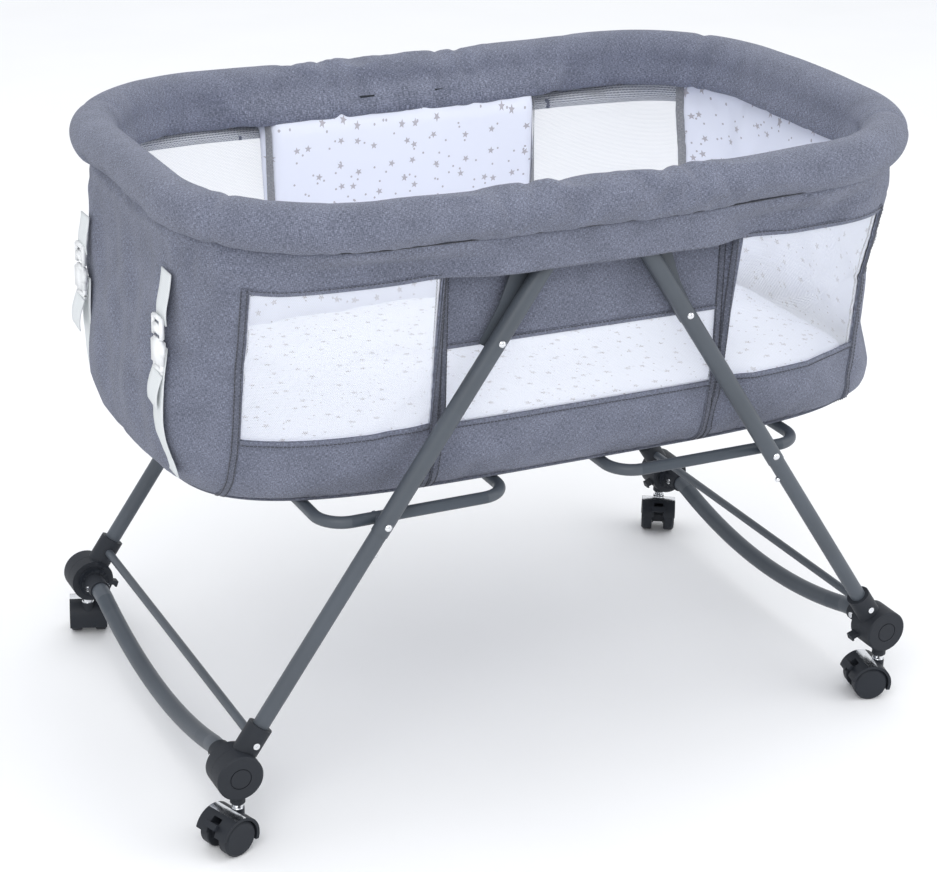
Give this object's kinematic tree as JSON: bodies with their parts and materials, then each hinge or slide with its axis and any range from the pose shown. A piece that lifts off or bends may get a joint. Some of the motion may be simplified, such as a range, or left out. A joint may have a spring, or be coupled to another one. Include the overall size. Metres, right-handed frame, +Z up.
{
  "type": "bassinet on stand",
  "caption": "Oval fabric bassinet with padded rim and mesh windows, hung on a folding steel stand of splayed legs with rocker bars and flip-down casters.",
  "frame": {"origin": "on the floor, under the middle of the object", "axes": "+X along the basket, away from the strapped end; -Y is the front; +Z up"},
  "size_m": [0.8946, 0.583, 0.6924],
  "materials": {
    "powder_coat": "satin",
    "black_plastic": "matte",
    "caster_plastic": "matte",
    "bright_steel": "polished",
    "grey_fabric": "matte",
    "star_print": "matte",
    "white_mesh": "matte",
    "board": "matte",
    "webbing": "matte",
    "white_plastic": "satin"
  },
  "bodies": {
    "root": {"centre_rail_tubes": "powder_coat", "hinge_housings": "black_plastic", "pivot_pins": "bright_steel", "centre_pads": "grey_fabric", "outer_cover": "grey_fabric", "liner": "star_print", "mesh_windows": "white_mesh", "leg_flaps": "grey_fabric", "base_board": "board", "mattress": "star_print", "end_straps": "webbing", "strap_buckles": "white_plastic"},
    "left_rail": {"left_rail_tube": "powder_coat", "left_rail_pad": "grey_fabric"},
    "right_rail": {"right_rail_tube": "powder_coat", "right_rail_pad": "grey_fabric"},
    "left_legs": {"left_upper_legs": "powder_coat", "left_leg_brackets": "powder_coat", "left_spigots": "bright_steel", "left_rivets": "bright_steel", "left_lower_legs": "powder_coat", "left_foot_castings": "black_plastic", "left_rocker": "powder_coat", "left_brace": "powder_coat", "left_foot_screws": "bright_steel"},
    "left_hoop_body": {"left_hoop": "powder_coat"},
    "right_legs": {"right_upper_legs": "powder_coat", "right_leg_brackets": "powder_coat", "right_spigots": "bright_steel", "right_rivets": "bright_steel", "right_lower_legs": "powder_coat", "right_foot_castings": "black_plastic", "right_rocker": "powder_coat", "right_brace": "powder_coat", "right_foot_screws": "bright_steel"},
    "right_hoop_body": {"right_hoop": "powder_coat"},
    "drum_fl": {"hub_drum_fl": "black_plastic"},
    "tab_fl": {"release_tab_fl": "black_plastic"},
    "caster_fl": {"caster_fork_fl": "caster_plastic"},
    "wheels_fl": {"caster_wheels_fl": "caster_plastic"},
    "brake_fl": {"brake_lever_fl": "caster_plastic"},
    "button_fl": {"snap_button_fl": "bright_steel"},
    "drum_fr": {"hub_drum_fr": "black_plastic"},
    "tab_fr": {"release_tab_fr": "black_plastic"},
    "caster_fr": {"caster_fork_fr": "caster_plastic"},
    "wheels_fr": {"caster_wheels_fr": "caster_plastic"},
    "brake_fr": {"brake_lever_fr": "caster_plastic"},
    "button_fr": {"snap_button_fr": "bright_steel"},
    "drum_bl": {"hub_drum_bl": "black_plastic"},
    "tab_bl": {"release_tab_bl": "black_plastic"},
    "caster_bl": {"caster_fork_bl": "caster_plastic"},
    "wheels_bl": {"caster_wheels_bl": "caster_plastic"},
    "brake_bl": {"brake_lever_bl": "caster_plastic"},
    "button_bl": {"snap_button_bl": "bright_steel"},
    "drum_br": {"hub_drum_br": "black_plastic"},
    "tab_br": {"release_tab_br": "black_plastic"},
    "caster_br": {"caster_fork_br": "caster_plastic"},
    "wheels_br": {"caster_wheels_br": "caster_plastic"},
    "brake_br": {"brake_lever_br": "caster_plastic"},
    "button_br": {"snap_button_br": "bright_steel"}
  },
  "joints": [
    {"name": "fold", "type": "hinge", "parent": "root", "child": "left_legs", "pos_m": [-0.048, 0, 0.6], "axis": [0, -1, 0], "range_deg": [0, 31], "deforming": ["centre_pads", "outer_cover", "liner", "mesh_windows", "leg_flaps", "base_board", "mattress", "end_straps", "strap_buckles"]},
    {"name": "right_legs_fold", "type": "hinge", "parent": "root", "child": "right_legs", "pos_m": [0.048, 0, 0.6], "axis": [0, 1, 0], "range_deg": [0, 31]},
    {"name": "left_rail_fold", "type": "hinge", "parent": "root", "child": "left_rail", "pos_m": [-0.088, 0, 0.652], "axis": [0, -1, 0], "range_deg": [0, 84], "deforming": ["left_rail_pad"]},
    {"name": "right_rail_fold", "type": "hinge", "parent": "root", "child": "right_rail", "pos_m": [0.088, 0, 0.652], "axis": [0, 1, 0], "range_deg": [0, 84], "deforming": ["right_rail_pad"]},
    {"name": "left_hoop_swing", "type": "hinge", "parent": "left_legs", "child": "left_hoop_body", "pos_m": [-0.23303, 0, 0.32772], "axis": [0, 1, 0], "range_deg": [0, 121]},
    {"name": "right_hoop_swing", "type": "hinge", "parent": "right_legs", "child": "right_hoop_body", "pos_m": [0.23303, 0, 0.32772], "axis": [0, -1, 0], "range_deg": [0, 121]},
    {"name": "hub_flip_fl", "type": "hinge", "parent": "left_legs", "child": "drum_fl", "pos_m": [-0.4, -0.253, 0.082], "axis": [0, 1, 0], "range_deg": [0, 90]},
    {"name": "tab_press_fl", "type": "slide", "parent": "left_legs", "child": "tab_fl", "axis": [-0.9397, 0, 0.342], "range_m": [0, 0.003], "stiffness_N_per_m": 400, "springref_m": -0.0005},
    {"name": "caster_swivel_fl", "type": "hinge", "parent": "drum_fl", "child": "caster_fl", "pos_m": [-0.4, -0.252, 0.047], "axis": [0, 0, 1], "continuous": true},
    {"name": "wheel_roll_fl", "type": "hinge", "parent": "caster_fl", "child": "wheels_fl", "pos_m": [-0.41316, -0.25679, 0.02], "axis": [0.342, -0.9397, 0], "continuous": true},
    {"name": "brake_press_fl", "type": "hinge", "parent": "caster_fl", "child": "brake_fl", "pos_m": [-0.42539, -0.26124, 0.03093], "axis": [0.342, -0.9397, 0], "range_deg": [0, 20]},
    {"name": "button_press_fl", "type": "slide", "parent": "left_legs", "child": "button_fl", "axis": [-0.8271, 0, 0.562], "range_m": [0, 0.0025], "stiffness_N_per_m": 400, "springref_m": -0.0005},
    {"name": "hub_flip_fr", "type": "hinge", "parent": "right_legs", "child": "drum_fr", "pos_m": [0.4, -0.253, 0.082], "axis": [0, -1, 0], "range_deg": [0, 90]},
    {"name": "tab_press_fr", "type": "slide", "parent": "right_legs", "child": "tab_fr", "axis": [0.9397, 0, 0.342], "range_m": [0, 0.003], "stiffness_N_per_m": 400, "springref_m": -0.0005},
    {"name": "caster_swivel_fr", "type": "hinge", "parent": "drum_fr", "child": "caster_fr", "pos_m": [0.4, -0.252, 0.047], "axis": [0, 0, 1], "continuous": true},
    {"name": "wheel_roll_fr", "type": "hinge", "parent": "caster_fr", "child": "wheels_fr", "pos_m": [0.38648, -0.24838, 0.02], "axis": [-0.2588, -0.9659, 0], "continuous": true},
    {"name": "brake_press_fr", "type": "hinge", "parent": "caster_fr", "child": "brake_fr", "pos_m": [0.3739, -0.24501, 0.03093], "axis": [-0.2588, -0.9659, 0], "range_deg": [0, 20]},
    {"name": "button_press_fr", "type": "slide", "parent": "right_legs", "child": "button_fr", "axis": [0.8271, 0, 0.562], "range_m": [0, 0.0025], "stiffness_N_per_m": 400, "springref_m": -0.0005},
    {"name": "hub_flip_bl", "type": "hinge", "parent": "left_legs", "child": "drum_bl", "pos_m": [-0.4, 0.253, 0.082], "axis": [0, 1, 0], "range_deg": [0, 90]},
    {"name": "tab_press_bl", "type": "slide", "parent": "left_legs", "child": "tab_bl", "axis": [-0.9397, 0, 0.342], "range_m": [0, 0.003], "stiffness_N_per_m": 400, "springref_m": -0.0005},
    {"name": "caster_swivel_bl", "type": "hinge", "parent": "drum_bl", "child": "caster_bl", "pos_m": [-0.4, 0.252, 0.047], "axis": [0, 0, 1], "continuous": true},
    {"name": "wheel_roll_bl", "type": "hinge", "parent": "caster_bl", "child": "wheels_bl", "pos_m": [-0.39567, 0.26532, 0.02], "axis": [-0.9511, 0.309, 0], "continuous": true},
    {"name": "brake_press_bl", "type": "hinge", "parent": "caster_bl", "child": "brake_bl", "pos_m": [-0.39165, 0.2777, 0.03093], "axis": [-0.9511, 0.309, 0], "range_deg": [0, 20]},
    {"name": "button_press_bl", "type": "slide", "parent": "left_legs", "child": "button_bl", "axis": [-0.8271, 0, 0.562], "range_m": [0, 0.0025], "stiffness_N_per_m": 400, "springref_m": -0.0005},
    {"name": "hub_flip_br", "type": "hinge", "parent": "right_legs", "child": "drum_br", "pos_m": [0.4, 0.253, 0.082], "axis": [0, -1, 0], "range_deg": [0, 90]},
    {"name": "tab_press_br", "type": "slide", "parent": "right_legs", "child": "tab_br", "axis": [0.9397, 0, 0.342], "range_m": [0, 0.003], "stiffness_N_per_m": 400, "springref_m": -0.0005},
    {"name": "caster_swivel_br", "type": "hinge", "parent": "drum_br", "child": "caster_br", "pos_m": [0.4, 0.252, 0.047], "axis": [0, 0, 1], "continuous": true},
    {"name": "wheel_roll_br", "type": "hinge", "parent": "caster_br", "child": "wheels_br", "pos_m": [0.393, 0.23988, 0.02], "axis": [0.866, -0.5, 0], "continuous": true},
    {"name": "brake_press_br", "type": "hinge", "parent": "caster_br", "child": "brake_br", "pos_m": [0.38649, 0.2286, 0.03093], "axis": [0.866, -0.5, 0], "range_deg": [0, 20]},
    {"name": "button_press_br", "type": "slide", "parent": "right_legs", "child": "button_br", "axis": [0.8271, 0, 0.562], "range_m": [0, 0.0025], "stiffness_N_per_m": 400, "springref_m": -0.0005}
  ],
  "couplings": [
    {"joint": "right_legs_fold", "follows": "fold", "ratio": 1},
    {"joint": "left_rail_fold", "follows": "fold", "ratio": 2.7097},
    {"joint": "right_rail_fold", "follows": "fold", "ratio": 2.7097},
    {"joint": "left_hoop_swing", "follows": "fold", "ratio": 3.9032},
    {"joint": "right_hoop_swing", "follows": "fold", "ratio": 3.9032}
  ]
}
